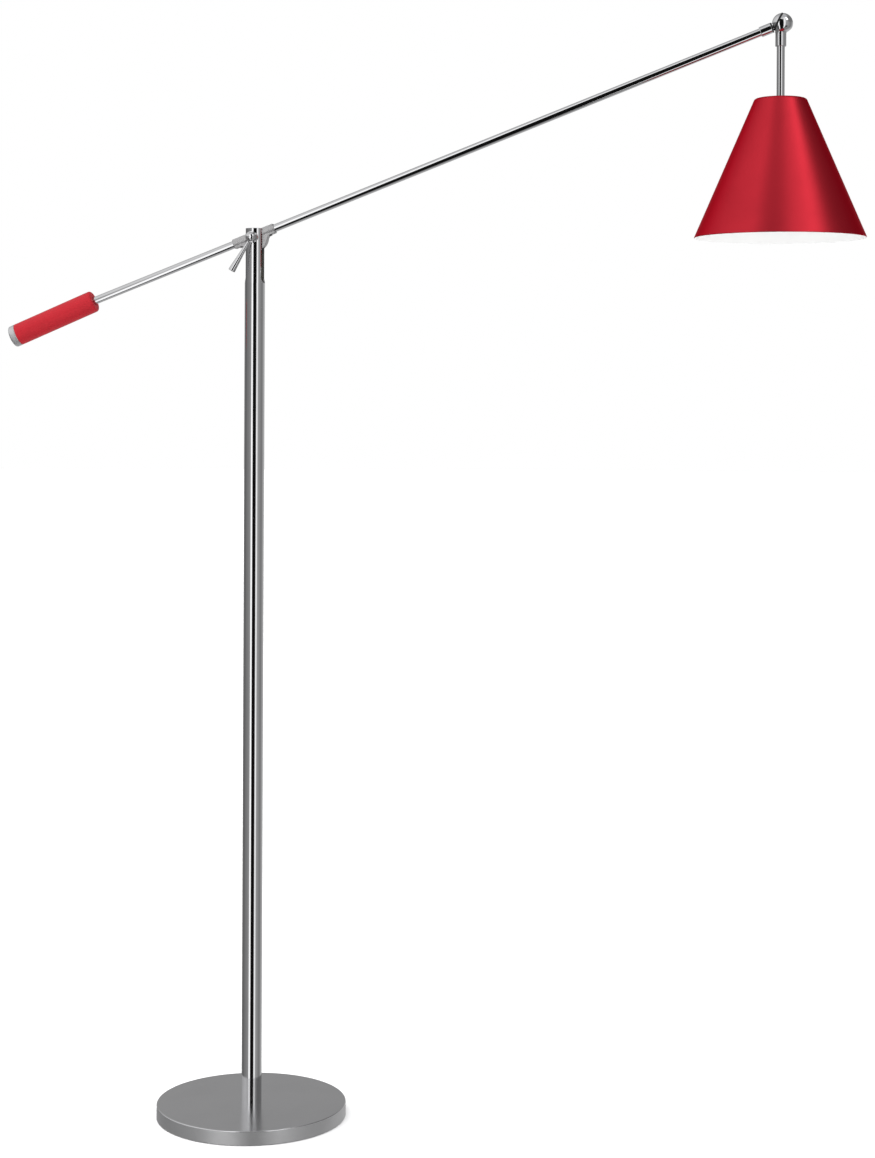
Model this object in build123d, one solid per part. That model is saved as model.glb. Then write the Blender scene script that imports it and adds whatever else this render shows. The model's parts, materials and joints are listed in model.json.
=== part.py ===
from build123d import *

import os
from math import cos, radians, sin, sqrt

# Adjustable arm floor lamp: weighted base, slotted pole, tilting counterweighted arm, swivelling cone shade.
# Millimetres, +Z up. The origin is the middle of the base's underside. The arm lies in the XZ plane,
# its head towards +X.

# --- base and pole ----------------------------------------------------------------------------------------
BASE_R = 140.0
BASE_H = 21.0
COVER_WALL = 1.5
COVER_LIFT = 0.6
COVER_EDGE_R = 1.2
WEIGHT_R = 137.5
WEIGHT_TOP = 19.4
PAD_R = 136.0
PAD_H = 2.0
RECESS_R = 16.0
RECESS_TOP = 13.0
GROOVE_WIDTH = 9.0
GROOVE_TOP = 9.0
INLET_Z = 9.0
INLET_R = 3.1
POLE_R = 15.0
POLE_WALL = 1.5
POLE_TOP = 1317.0
SLOT_WIDTH = 18.0
SLOT_BOTTOM = 1235.5
NIPPLE_R = 5.0
NIPPLE_BORE_R = 3.4

# --- pivot and clamp --------------------------------------------------------------------------------------
PIVOT_Z = 1303.0
SCREW_R = 4.0
RUNNING = 0.05
CLAMP_FACE_Y = 17.2
CLAMP_HUB_R = 8.2
LEVER_Y = -21.6
LEVER_LENGTH = 58.0
LEVER_ROOT_R = 2.2
LEVER_END_R = 5.3
LEVER_ANGLE = 31.0

# --- arm --------------------------------------------------------------------------------------------------
ARM_TILT = 20.91
ARM_RISE = 2.5
TUBE_R = 5.75
TUBE_WALL = 1.2
SEAT = 0.03
HUB_R = 20.0
HUB_THICK = 12.0
SOCKET_R = 7.0
SOCKET_START = 11.0
SOCKET_END = 33.5
SOCKET_BORE_END = 17.0
GUSSET_FILLET = 9.0
BUSH_R = 5.5
GRUB_R = 2.0
GRUB_X = 24.0
WEIGHT_ARM = 266.0
WEIGHT_LENGTH = 130.0
WEIGHT_ROD_R = 16.4
WEIGHT_DROOP = 1.9
CAP_LENGTH = 10.0
REAR_TUBE_END = 345.0

# --- head joint: distances along the arm are measured back from the ball's centre -------------------------
BALL_ARM = 829.3
BALL_R = 14.8
COLLAR_R = 7.5
COLLAR_FROM = 16.7
COLLAR_TO = 33.4
ROLL_WASHER_R = 7.4
ROLL_WASHER_FROM = 15.0
KNUCKLE_NECK_R = 6.5
SPIGOT_R = 4.5
SPIGOT_END = 24.0
CLIP_FROM = 20.6
CLIP_TO = 21.8
SPLIT_ANGLE = 64.4
SPLIT_LOW = 4.2
SPLIT_HIGH = 7.2
SWIVEL_WASHER_R = 13.7
AXLE_R = 4.0
AXLE_BORE_R = 2.6
POCKET_R = 7.0
POCKET_TOP = 1.0

# --- shade and lampholder ---------------------------------------------------------------------------------
HEAD_OFFSET = -2.3
NECK_R = 7.8
NECK_DROP = 32.8
STEM_TOP_DROP = 20.0
SHADE_TOP = 1494.3
SHADE_RIM = 1295.8
SHADE_TOP_R = 36.6
SHADE_RIM_R = 121.9
SHADE_WALL = 0.9
SHADE_CORNER_R = 5.0
HOLDER_R = 19.0
HOLDER_TOP = 1487.0
HOLDER_SHOULDER = 1466.0
HOLDER_MOUTH = 1428.0
SHELL_R = 13.1
BULB_R = 30.0
BULB_TIP = 1340.0
KEY_Z = 1448.0
WIRE_R = 1.8
CORD_R = 2.2

# --- frames -----------------------------------------------------------------------------------------------
UP = (0, 0, 1)
ARM_DIR = Vector(cos(radians(ARM_TILT)), 0, sin(radians(ARM_TILT)))
ARM_UP = Vector(-sin(radians(ARM_TILT)), 0, cos(radians(ARM_TILT)))
PIVOT = Vector(0, 0, PIVOT_Z)
BALL = PIVOT + ARM_DIR * BALL_ARM + ARM_UP * ARM_RISE
SWIVEL_DIR = Vector(-sin(radians(SPLIT_ANGLE)), 0, cos(radians(SPLIT_ANGLE)))
ARM = Plane(origin=PIVOT, x_dir=ARM_DIR, z_dir=ARM_UP)
# local +Z runs back along the arm from the ball, towards the pivot
ROLL = Plane(origin=BALL, x_dir=(0, 1, 0), z_dir=ARM_DIR * -1)
# local +Z is the swivel axis, from the ball's centre towards its small cap
SWIVEL = Plane(origin=BALL, x_dir=(0, 1, 0), z_dir=SWIVEL_DIR)
HEAD_X = BALL.X + HEAD_OFFSET


# --- helpers ----------------------------------------------------------------------------------------------
def rod(radius, low, high):
    """A solid cylinder about Z."""
    return Pos(0, 0, (low + high) / 2) * Cylinder(radius, high - low)


def ring(outer, inner, low, high):
    """A plain ring or tube about Z."""
    return rod(outer, low, high) - rod(inner, low - 1, high + 1)


def hexagon(across_flats, bore, low, high):
    """A hexagon nut about Z."""
    body = extrude(RegularPolygon(across_flats / 2, 6, major_radius=False), high - low)
    return Pos(0, 0, low) * body - rod(bore, low - 1, high + 1)


def lathe(*profile):
    """A solid of revolution about Z from (radius, height) points."""
    face = make_face(Plane.XZ * Polyline(*profile, close=True))
    return revolve(face, Axis.Z)


def facing_y(shape):
    """Turns a shape made about Z so that its +Z points along +Y."""
    return Rot(-90, 0, 0) * shape


def at_pivot(shape):
    """Places a shape made about Z on the pivot axis, its +Z along +Y."""
    return Pos(0, 0, PIVOT_Z) * facing_y(shape)


def along_x(shape, height=0.0):
    """Turns a shape made about Z so that its +Z points along +X, and lifts it."""
    return Pos(0, 0, height) * Rot(0, 90, 0) * shape


def at_head(shape):
    """Places a shape made about Z on the shade's axis."""
    return Pos(HEAD_X, 0, 0) * shape


def cable(points, radii, radius):
    """A round wire along straight runs joined by arcs."""
    path = FilletPolyline(*points, radius=radii)
    start = Plane(origin=path @ 0, z_dir=path % 0)
    return sweep(start * Circle(radius), path=path)


def edges_at(shape, radius, height):
    """The circular edges of one radius at one height."""
    found = []
    for edge in shape.edges().filter_by(GeomType.CIRCLE):
        if abs(edge.radius - radius) < 0.01 and abs(edge.arc_center.Z - height) < 0.01:
            found.append(edge)
    return found


# --- base -------------------------------------------------------------------------------------------------
def make_base_cover():
    """Pressed and plated cover: a flat top with a short skirt."""
    cover = rod(BASE_R, COVER_LIFT, BASE_H)
    cover = fillet(edges_at(cover, BASE_R, BASE_H), COVER_EDGE_R)
    cover -= rod(BASE_R - COVER_WALL, COVER_LIFT - 1, BASE_H - COVER_WALL)
    cover -= rod(NIPPLE_R + 0.1, 0, BASE_H + 1)
    return cover - Pos(0, BASE_R, INLET_Z) * facing_y(rod(5.0, -5, 5))


def make_base_weight():
    """Cast-iron ballast disc with a nut recess, a wire groove and a pocket behind the inlet."""
    weight = rod(WEIGHT_R, PAD_H, WEIGHT_TOP)
    weight -= rod(RECESS_R, PAD_H - 1, RECESS_TOP)
    weight -= rod(NIPPLE_R + 0.2, 0, BASE_H)
    groove_height = GROOVE_TOP - PAD_H
    groove = Box(GROOVE_WIDTH, WEIGHT_R + 5, groove_height)
    weight -= Pos(0, (WEIGHT_R + 5) / 2, PAD_H + groove_height / 2) * groove
    pocket = Box(17, 50, 14.5)
    return weight - Pos(0, WEIGHT_R, PAD_H + 7.25) * pocket


def make_inlet_grommet():
    """Rubber grommet in the back of the skirt, with a flange each side of the sheet."""
    outside = BASE_R + 0.2
    inside = BASE_R - COVER_WALL - 0.3
    body = rod(4.9, inside - 3.5, outside + 1.6)
    body += rod(6.5, outside, outside + 1.6)
    body += rod(6.5, inside - 1.6, inside)
    body -= rod(INLET_R, inside - 5, outside + 5)
    return Pos(0, 0, INLET_Z) * facing_y(body)


def make_stand_wire():
    """The lead's inner run: inlet, groove, nipple and pole, up to below the pivot."""
    floor_z = PAD_H + CORD_R + 0.2
    points = [
        (0, BASE_R - 6.5, INLET_Z),
        (0, BASE_R - 18, INLET_Z),
        (0, BASE_R - 30, floor_z),
        (0, 0, floor_z),
        (0, 0, PIVOT_Z - 34),
    ]
    return cable(points, [8, 8, 5], CORD_R)


# --- pole -------------------------------------------------------------------------------------------------
def make_pole():
    """Plated tube with a deep round-bottomed slot at its top for the arm, and the pivot holes."""
    pole = ring(POLE_R, POLE_R - POLE_WALL, BASE_H, POLE_TOP)
    half = SLOT_WIDTH / 2
    slot_height = POLE_TOP + 1 - SLOT_BOTTOM - half
    slot = Box(3 * POLE_R, SLOT_WIDTH, slot_height)
    pole -= Pos(0, 0, POLE_TOP + 1 - slot_height / 2) * slot
    pole -= along_x(rod(half, -2 * POLE_R, 2 * POLE_R), SLOT_BOTTOM + half)
    return pole - at_pivot(rod(SCREW_R + 0.1, -2 * POLE_R, 2 * POLE_R))


def make_pole_plug():
    """Threaded plug in the pole's foot."""
    return ring(POLE_R - POLE_WALL - SEAT, NIPPLE_R + SEAT, BASE_H, BASE_H + 25)


def make_cheek_spacers():
    """Two nylon spacers between the arm's hub and the pole's inner wall."""
    inner_wall = rod(POLE_R - POLE_WALL - RUNNING, PIVOT_Z - 20, PIVOT_Z + 20)
    front = at_pivot(ring(7.0, SCREW_R + 0.1, HUB_THICK / 2 + 0.1, POLE_R))
    front = front & inner_wall
    return Compound(children=[*front.solids(), *front.rotate(Axis.Z, 180).solids()])


def make_saddle_washers():
    """Two plated washers with a hollow face that fits the pole's outside."""
    rear = at_pivot(ring(CLAMP_HUB_R, SCREW_R + 0.1, POLE_R - 3, CLAMP_FACE_Y))
    rear -= rod(POLE_R + RUNNING, PIVOT_Z - 20, PIVOT_Z + 20)
    return Compound(children=[*rear.solids(), *rear.rotate(Axis.Z, 180).solids()])


def make_rear_cap_nut():
    """Domed hexagon nut behind the pole."""
    nut = hexagon(14, 0.5, CLAMP_FACE_Y, CLAMP_FACE_Y + 6.5)
    dome = Pos(0, 0, CLAMP_FACE_Y + 6.5) * Sphere(6.4)
    dome &= rod(7, CLAMP_FACE_Y + 3, CLAMP_FACE_Y + 14)
    nut = nut + dome + rod(3, CLAMP_FACE_Y, CLAMP_FACE_Y + 6)
    return at_pivot(nut - rod(SCREW_R + RUNNING, CLAMP_FACE_Y - 1, CLAMP_FACE_Y + 8.5))


# --- clamp ------------------------------------------------------------------------------------------------
def make_clamp_hub():
    """Round boss of the clamp handle, with a bead and a domed front; made facing +Z, then turned."""
    face = CLAMP_FACE_Y + 0.8
    hub = rod(CLAMP_HUB_R, face, face + 6.6)
    hub += rod(6.6, face, face + 8.0)
    dome_r = 7.0
    dome = Pos(0, 0, face + 5.0) * Sphere(dome_r)
    hub += dome & rod(6.6, face + 6, face + 13)
    hub = fillet(edges_at(hub, CLAMP_HUB_R, face + 6.6), 0.8)
    hub -= rod(SCREW_R + SEAT, face - 1, face + 6)
    return at_pivot(hub).rotate(Axis((0, 0, 0), UP), 180) - make_clamp_lever()


def make_clamp_lever():
    """Tapered rod that widens towards its free end."""
    length = LEVER_LENGTH - CLAMP_HUB_R + 1.5
    start = CLAMP_HUB_R - 1.5
    spread = (LEVER_END_R - LEVER_ROOT_R) / (LEVER_LENGTH - start)
    lever = lathe(
        (0, start),
        (LEVER_ROOT_R, start),
        (LEVER_ROOT_R + spread * length, LEVER_LENGTH),
        (0, LEVER_LENGTH),
    )
    lever = fillet(edges_at(lever, LEVER_END_R, LEVER_LENGTH), 0.7)
    return Pos(0, LEVER_Y, PIVOT_Z) * Rot(0, 180 + LEVER_ANGLE, 0) * lever


def make_clamp_screw():
    """Shank of the clamp, through both cheeks and the hub into the rear nut."""
    return at_pivot(rod(SCREW_R, -(CLAMP_FACE_Y + 6.5), CLAMP_FACE_Y + 8))


def make_clamp_washer():
    """Thin nylon washer under the clamp's boss."""
    washer = ring(7.4, SCREW_R + RUNNING, -(CLAMP_FACE_Y + 0.8), -CLAMP_FACE_Y)
    return at_pivot(washer)


# --- arm, modelled level along X in the arm's own frame ---------------------------------------------------
def arm_wire_points():
    """The wire climbs through the hub beside the pivot and runs out along the front tube."""
    return [(4, 0, -24.5), (14, 0, ARM_RISE), (BALL_ARM - SPIGOT_END - 3, 0, ARM_RISE)]


def make_pivot_block():
    """Cast hub plate with two tube sockets in line, beyond the pole, and hollow fillets under them."""
    top = ARM_RISE + SOCKET_R
    outline = Circle(HUB_R) + Pos(0, ARM_RISE) * Rectangle(2 * SOCKET_END - 2, 2 * SOCKET_R)
    corners = []
    for corner in outline.vertices():
        on_rim = abs(sqrt(corner.X**2 + corner.Y**2) - HUB_R) < 0.1
        if on_rim and corner.Y < 0:
            corners.append(corner)
    outline = fillet(corners, GUSSET_FILLET)
    outline -= Pos(0, top + 20) * Rectangle(80, 40)
    block = extrude(Plane.XZ * outline, HUB_THICK / 2, both=True)
    for side in (-1, 1):
        socket = along_x(rod(SOCKET_R, SOCKET_START, SOCKET_END), ARM_RISE)
        block += socket.rotate(Axis.Z, 90 - 90 * side)
        bore = along_x(rod(TUBE_R + SEAT, SOCKET_BORE_END, SOCKET_END + 1), ARM_RISE)
        block -= bore.rotate(Axis.Z, 90 - 90 * side)
        block -= Pos(side * GRUB_X, 0, 0) * rod(GRUB_R + SEAT, -30, ARM_RISE)
    block -= facing_y(rod(BUSH_R + SEAT, -HUB_THICK, HUB_THICK))
    return block - cable(arm_wire_points(), [9], WIRE_R + 0.8)


def make_pivot_bush():
    """Bronze bush in the hub, turning on the clamp's shank."""
    return facing_y(ring(BUSH_R, SCREW_R + RUNNING, -HUB_THICK / 2, HUB_THICK / 2))


def make_front_arm():
    """Long tube from the hub to the head's collar."""
    tube = ring(TUBE_R, TUBE_R - TUBE_WALL, SOCKET_BORE_END, BALL_ARM - SPIGOT_END - 1)
    return along_x(tube, ARM_RISE)


def make_rear_arm():
    """Short tube from the hub into the counterweight."""
    tube = ring(TUBE_R, TUBE_R - TUBE_WALL, -REAR_TUBE_END, -SOCKET_BORE_END)
    return along_x(tube, ARM_RISE)


def make_grub_screws():
    """Two grub screws that lock the tubes in the hub's sockets."""
    screws = []
    low = ARM_RISE - SOCKET_R - 1.6
    for side in (-1, 1):
        screw = rod(GRUB_R, low, ARM_RISE - TUBE_R - RUNNING)
        slot = Pos(0, 0, low) * Box(5, 0.8, 1.4)
        screws.append(Pos(side * GRUB_X, 0, 0) * (screw - slot))
    return Compound(children=[s.solid() for s in screws])


def weight_frame(shape):
    """Places a shape made about Z, from its inner end upwards, on the counterweight's drooping axis."""
    return Pos(-WEIGHT_ARM, 0, ARM_RISE) * Rot(0, -90 - WEIGHT_DROOP, 0) * shape


def make_counterweight():
    """Red iron bar bored for the tube, with a rounded inner end."""
    bar = rod(WEIGHT_ROD_R, 0, WEIGHT_LENGTH)
    bar = fillet(edges_at(bar, WEIGHT_ROD_R, 0), 3.5)
    bar -= rod(SCREW_R + SEAT, WEIGHT_LENGTH - 18, WEIGHT_LENGTH + 1)
    bar = weight_frame(bar)
    bar -= along_x(rod(TUBE_R + 0.15, -REAR_TUBE_END - 3, -WEIGHT_ARM + 10), ARM_RISE)
    return bar - Pos(-WEIGHT_ARM - 22, 0, 0) * rod(2.5 + SEAT, -20, ARM_RISE)


def make_counterweight_cap():
    """Plated end cap with a rounded rim."""
    cap = rod(WEIGHT_ROD_R, WEIGHT_LENGTH, WEIGHT_LENGTH + CAP_LENGTH)
    cap = fillet(edges_at(cap, WEIGHT_ROD_R, WEIGHT_LENGTH + CAP_LENGTH), 2.5)
    return weight_frame(cap - rod(SCREW_R + SEAT, WEIGHT_LENGTH - 1, WEIGHT_LENGTH + 6))


def make_counterweight_stud():
    """Threaded stud that holds the end cap on."""
    return weight_frame(rod(SCREW_R, WEIGHT_LENGTH - 16, WEIGHT_LENGTH + 5.5))


def make_counterweight_screw():
    """Grub screw that locks the counterweight on its tube."""
    low = ARM_RISE - WEIGHT_ROD_R + 1.5
    return Pos(-WEIGHT_ARM - 22, 0, 0) * rod(2.5, low, ARM_RISE - TUBE_R - RUNNING)


def make_arm_wire():
    """The lead's run through the hub and the front tube."""
    return cable(arm_wire_points(), [9], WIRE_R)


# --- head joint -------------------------------------------------------------------------------------------
def make_arm_collar():
    """Plated collar on the front tube's end; its small bore is the bearing of the ball's spigot."""
    collar = rod(COLLAR_R, COLLAR_FROM, COLLAR_TO)
    collar = chamfer(edges_at(collar, COLLAR_R, COLLAR_TO), 0.5)
    collar -= rod(SPIGOT_R + RUNNING, COLLAR_FROM - 1, COLLAR_TO)
    return ROLL * (collar - rod(TUBE_R + SEAT, COLLAR_FROM + 3.7, COLLAR_TO + 1))


def make_roll_washer():
    """Black friction ring between the collar and the ball's cap."""
    return ROLL * ring(ROLL_WASHER_R, SPIGOT_R + RUNNING, ROLL_WASHER_FROM, COLLAR_FROM)


def knuckle_wire_path(radius):
    """The wire leaves the spigot, crosses under the cap's skin and dives through the hollow axle."""
    height = SPLIT_HIGH + 2.6
    entry = ROLL.from_local_coords((0, 0, SPIGOT_END - 0.5))
    turn = ROLL.from_local_coords((0, 0, 14.2))
    middle = BALL + SWIVEL_DIR * height
    end = BALL - SWIVEL_DIR * 6.5
    return cable([entry, turn, middle, end], [2.6, 2.6], radius)


def make_knuckle_cap():
    """Small cap of the split ball, with its neck and the spigot that turns in the collar."""
    neck = ROLL * rod(KNUCKLE_NECK_R, 0, ROLL_WASHER_FROM)
    keep = SWIVEL * rod(40, SPLIT_HIGH, 60)
    body = (Pos(*BALL) * Sphere(BALL_R) + neck) & keep
    spigot = ring(SPIGOT_R, 2.4, ROLL_WASHER_FROM, SPIGOT_END)
    spigot -= ring(SPIGOT_R + 1, SPIGOT_R - 0.5, CLIP_FROM, CLIP_TO)
    body += ROLL * spigot
    body -= SWIVEL * rod(AXLE_R + SEAT, SPLIT_HIGH - 1, SPLIT_HIGH + 4.8)
    return body - knuckle_wire_path(WIRE_R + 0.5)


def make_spigot_clip():
    """Spring clip that keeps the spigot in the collar."""
    clip = ring(TUBE_R - 0.4, SPIGOT_R - 0.5 + SEAT, CLIP_FROM + 0.05, CLIP_TO - 0.05)
    clip -= Pos(SPIGOT_R, 0, (CLIP_FROM + CLIP_TO) / 2) * Box(5, 3, 3)
    return ROLL * clip


def make_swivel_washer():
    """Black fibre disc in the ball's split."""
    return SWIVEL * ring(SWIVEL_WASHER_R, AXLE_R + 0.1, SPLIT_LOW, SPLIT_HIGH)


def make_swivel_axle():
    """Hollow screw in the cap, on which the ball turns."""
    return SWIVEL * ring(AXLE_R, AXLE_BORE_R, -5.5, SPLIT_HIGH + 4.6) - knuckle_wire_path(WIRE_R + 0.5)


def make_swivel_spring():
    """Spring washer that sets the swivel's friction."""
    return SWIVEL * ring(6.4, AXLE_R + RUNNING, POCKET_TOP - 1.0, POCKET_TOP)


def make_swivel_nut():
    """Nut on the axle, in the ball's pocket."""
    return SWIVEL * hexagon(11, AXLE_R + SEAT, POCKET_TOP - 5.4, POCKET_TOP - 1.0)


def make_knuckle_wire():
    """The lead's short run through the ball joint."""
    return knuckle_wire_path(WIRE_R)


def make_ball_housing():
    """Large part of the split ball, with the neck that takes the stem."""
    ball = Pos(*BALL) * Sphere(BALL_R)
    neck = at_head(rod(NECK_R, BALL.Z - NECK_DROP, BALL.Z - 8))
    neck = chamfer(edges_at(neck, NECK_R, BALL.Z - NECK_DROP), 0.7)
    body = (ball + neck) - SWIVEL * rod(40, SPLIT_LOW, 60)
    body -= SWIVEL * rod(AXLE_R + RUNNING, -2, 20)
    body -= SWIVEL * rod(POCKET_R, -20, POCKET_TOP)
    body -= at_head(rod(TUBE_R + SEAT, BALL.Z - NECK_DROP - 1, BALL.Z - STEM_TOP_DROP + 0.5))
    return body - at_head(rod(2.6, BALL.Z - NECK_DROP, BALL.Z - 5))


def make_ball_plug():
    """Press-in cover of the ball's pocket, flush with its surface."""
    plug = SWIVEL * rod(POCKET_R - SEAT, -20, -10)
    return plug & Pos(*BALL) * Sphere(BALL_R)


# --- shade and lampholder, about the shade's axis ---------------------------------------------------------
def make_stem():
    """Tube from the ball's neck down to the shade."""
    return at_head(ring(TUBE_R, TUBE_R - TUBE_WALL, SHADE_TOP, BALL.Z - STEM_TOP_DROP))


def cone(rim_r, top_r, low, high, corner):
    """A solid truncated cone with a rounded top corner."""
    body = lathe((0, low), (rim_r, low), (top_r, high), (0, high))
    return fillet(edges_at(body, top_r, high), corner)


def make_shade():
    """Spun cone with a closed flat top, open below."""
    slope = (SHADE_RIM_R - SHADE_TOP_R) / (SHADE_TOP - SHADE_RIM)
    across = SHADE_WALL * sqrt(1 + slope**2)
    inner_low = SHADE_RIM - 5
    inner_high = SHADE_TOP - SHADE_WALL
    inner_top_r = SHADE_TOP_R + slope * SHADE_WALL - across
    inner_rim_r = SHADE_RIM_R + slope * 5 - across
    shade = cone(SHADE_RIM_R, SHADE_TOP_R, SHADE_RIM, SHADE_TOP, SHADE_CORNER_R)
    shade -= cone(inner_rim_r, inner_top_r, inner_low, inner_high, SHADE_CORNER_R - SHADE_WALL)
    return at_head(shade - rod(TUBE_R - TUBE_WALL, SHADE_TOP - 5, SHADE_TOP + 5))


def make_shade_nipple():
    """Hollow threaded nipple through the shade's top."""
    return at_head(ring(TUBE_R - TUBE_WALL - SEAT, 3.0, HOLDER_TOP - 9, SHADE_TOP + 18))


def make_shade_washer():
    """Wide washer under the shade's top."""
    top = SHADE_TOP - SHADE_WALL
    return at_head(ring(13, TUBE_R - TUBE_WALL, top - 1.5, top))


def make_shade_nut():
    """Nut that clamps the shade to the stem."""
    top = SHADE_TOP - SHADE_WALL - 1.5
    return at_head(hexagon(14, TUBE_R - TUBE_WALL, top - 4, top))


def make_holder_cap():
    """Domed upper half of the lampholder."""
    cap = lathe(
        (0, HOLDER_SHOULDER),
        (HOLDER_R, HOLDER_SHOULDER),
        (HOLDER_R, HOLDER_SHOULDER + 5),
        (8, HOLDER_TOP - 5),
        (8, HOLDER_TOP),
        (0, HOLDER_TOP),
    )
    cap -= lathe(
        (0, HOLDER_SHOULDER - 1),
        (HOLDER_R - 1.5, HOLDER_SHOULDER - 1),
        (HOLDER_R - 1.5, HOLDER_SHOULDER + 4),
        (7, HOLDER_TOP - 8),
        (0, HOLDER_TOP - 8),
    )
    return at_head(cap - rod(TUBE_R - TUBE_WALL, HOLDER_TOP - 12, HOLDER_TOP + 1))


def make_holder_shell():
    """Cylindrical lower half of the lampholder."""
    shell = ring(HOLDER_R, HOLDER_R - 1.5, HOLDER_MOUTH, HOLDER_SHOULDER)
    keyhole = Pos(-HOLDER_R, 0, KEY_Z) * along_x(rod(2.8, -4, 4))
    return at_head(shell - keyhole)


def make_holder_core():
    """Insulating core between the shell and the screw thread, with the switch's space in it."""
    core = rod(HOLDER_R - 1.55, HOLDER_MOUTH + 2, HOLDER_SHOULDER - 1)
    core -= rod(SHELL_R + 0.75, HOLDER_MOUTH, HOLDER_SHOULDER - 6)
    core -= Pos(-HOLDER_R, 0, KEY_Z) * along_x(rod(2.8, -4, 4))
    return at_head(core - Pos(8, 0, 0) * rod(2.2, HOLDER_MOUTH, HOLDER_SHOULDER))


def make_screw_shell():
    """Brass screw shell of the lampholder."""
    shell = ring(SHELL_R + 0.7, SHELL_R, HOLDER_MOUTH + 4, HOLDER_SHOULDER - 6)
    return at_head(shell)


def make_centre_contact():
    """Brass contact above the bulb's tip."""
    contact = rod(3.5, HOLDER_SHOULDER - 8.5, HOLDER_SHOULDER - 6)
    return at_head(contact)


def make_bulb_cap():
    """The bulb's metal screw cap, closed at its tip."""
    low = HOLDER_MOUTH
    high = HOLDER_SHOULDER - 12
    cap = lathe((0, low), (SHELL_R - 0.1, low), (SHELL_R - 0.1, high), (5, high + 3.4), (0, high + 3.4))
    return at_head(cap - rod(SHELL_R - 1.1, low - 1, high - 1))


def bulb_outline(inset):
    """Half outline of the bulb's glass: a neck, a swelling flank and a round end."""
    neck = (SHELL_R - 1.2 - inset, HOLDER_MOUTH + 6)
    neck_low = (SHELL_R - 1.2 - inset, HOLDER_MOUTH - 2)
    belly = (BULB_R - inset, BULB_TIP + BULB_R)
    tip = (0, BULB_TIP + inset)
    flank = Spline(neck_low, belly, tangents=[(0, -1), (0, -1)])
    end = RadiusArc(belly, tip, BULB_R - inset)
    edges = [Line((0, neck[1]), neck), Line(neck, neck_low), flank, end, Line(tip, (0, neck[1]))]
    return make_face(Plane.XZ * Wire(edges))


def make_bulb_glass():
    """Hollow glass envelope, open inside its cap."""
    glass = revolve(bulb_outline(0), Axis.Z) - revolve(bulb_outline(0.9), Axis.Z)
    glass -= rod(SHELL_R - 2.1, HOLDER_MOUTH + 4, HOLDER_MOUTH + 8)
    return at_head(glass)


def make_stem_wire():
    """The lead's last run, down the stem to the lampholder."""
    points = [(HEAD_X, 0, BALL.Z - 7), (HEAD_X, 0, HOLDER_TOP - 16)]
    return Pos(*points[1]) * rod(WIRE_R, 0, points[0][2] - points[1][2])


def make_switch_key():
    """Turn key of the lampholder's switch: a shaft and a flat paddle."""
    shaft = rod(2.3, 15.5, HOLDER_R + 8)
    paddle = Pos(0, 0, HOLDER_R + 15) * Box(14, 3.2, 16)
    paddle = fillet(paddle.edges().filter_by(Axis.Y), 3.0)
    return Pos(HEAD_X, 0, KEY_Z) * Rot(0, -90, 0) * (shaft + paddle)


def in_arm(shape):
    """Moves a shape from the level arm frame to its place."""
    return ARM * shape


def make_parts():
    """Every node by name, in place."""
    base_nipple = ring(NIPPLE_R, NIPPLE_BORE_R, 7.6, BASE_H + 23)
    return {
        "base_cover": make_base_cover(),
        "base_weight": make_base_weight(),
        "base_pad": rod(PAD_R, 0, PAD_H),
        "base_nipple": base_nipple,
        "base_washer": ring(12.5, NIPPLE_R + 0.1, RECESS_TOP - 1.8, RECESS_TOP),
        "base_nut": hexagon(17, NIPPLE_R + SEAT, RECESS_TOP - 6.3, RECESS_TOP - 1.8),
        "inlet_grommet": make_inlet_grommet(),
        "stand_wire": make_stand_wire(),
        "pole": make_pole(),
        "pole_plug": make_pole_plug(),
        "cheek_spacers": make_cheek_spacers(),
        "saddle_washers": make_saddle_washers(),
        "rear_cap_nut": make_rear_cap_nut(),
        "clamp_hub": make_clamp_hub(),
        "clamp_lever": make_clamp_lever(),
        "clamp_screw": make_clamp_screw(),
        "clamp_washer": make_clamp_washer(),
        "pivot_block": in_arm(make_pivot_block()),
        "pivot_bush": in_arm(make_pivot_bush()),
        "front_arm": in_arm(make_front_arm()),
        "rear_arm": in_arm(make_rear_arm()),
        "grub_screws": in_arm(make_grub_screws()),
        "counterweight": in_arm(make_counterweight()),
        "counterweight_cap": in_arm(make_counterweight_cap()),
        "counterweight_stud": in_arm(make_counterweight_stud()),
        "counterweight_screw": in_arm(make_counterweight_screw()),
        "arm_wire": in_arm(make_arm_wire()),
        "arm_collar": make_arm_collar(),
        "roll_washer": make_roll_washer(),
        "knuckle_cap": make_knuckle_cap(),
        "spigot_clip": make_spigot_clip(),
        "swivel_washer": make_swivel_washer(),
        "swivel_axle": make_swivel_axle(),
        "swivel_spring": make_swivel_spring(),
        "swivel_nut": make_swivel_nut(),
        "knuckle_wire": make_knuckle_wire(),
        "ball_housing": make_ball_housing(),
        "ball_plug": make_ball_plug(),
        "stem": make_stem(),
        "stem_wire": make_stem_wire(),
        "shade": make_shade(),
        "shade_nipple": make_shade_nipple(),
        "shade_washer": make_shade_washer(),
        "shade_nut": make_shade_nut(),
        "holder_cap": make_holder_cap(),
        "holder_shell": make_holder_shell(),
        "holder_core": make_holder_core(),
        "screw_shell": make_screw_shell(),
        "centre_contact": make_centre_contact(),
        "bulb_cap": make_bulb_cap(),
        "bulb_glass": make_bulb_glass(),
        "switch_key": make_switch_key(),
    }


os.makedirs("parts", exist_ok=True)
for name, shape in make_parts().items():
    export_step(shape, f"parts/{name}.step")
print("ball centre", BALL, "head axis x", HEAD_X)
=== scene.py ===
"""Adjustable arm floor lamp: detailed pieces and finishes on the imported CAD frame. Profiles are in mm."""

import json
import math

import bmesh
import bpy
from mathutils import Matrix, Vector


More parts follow.
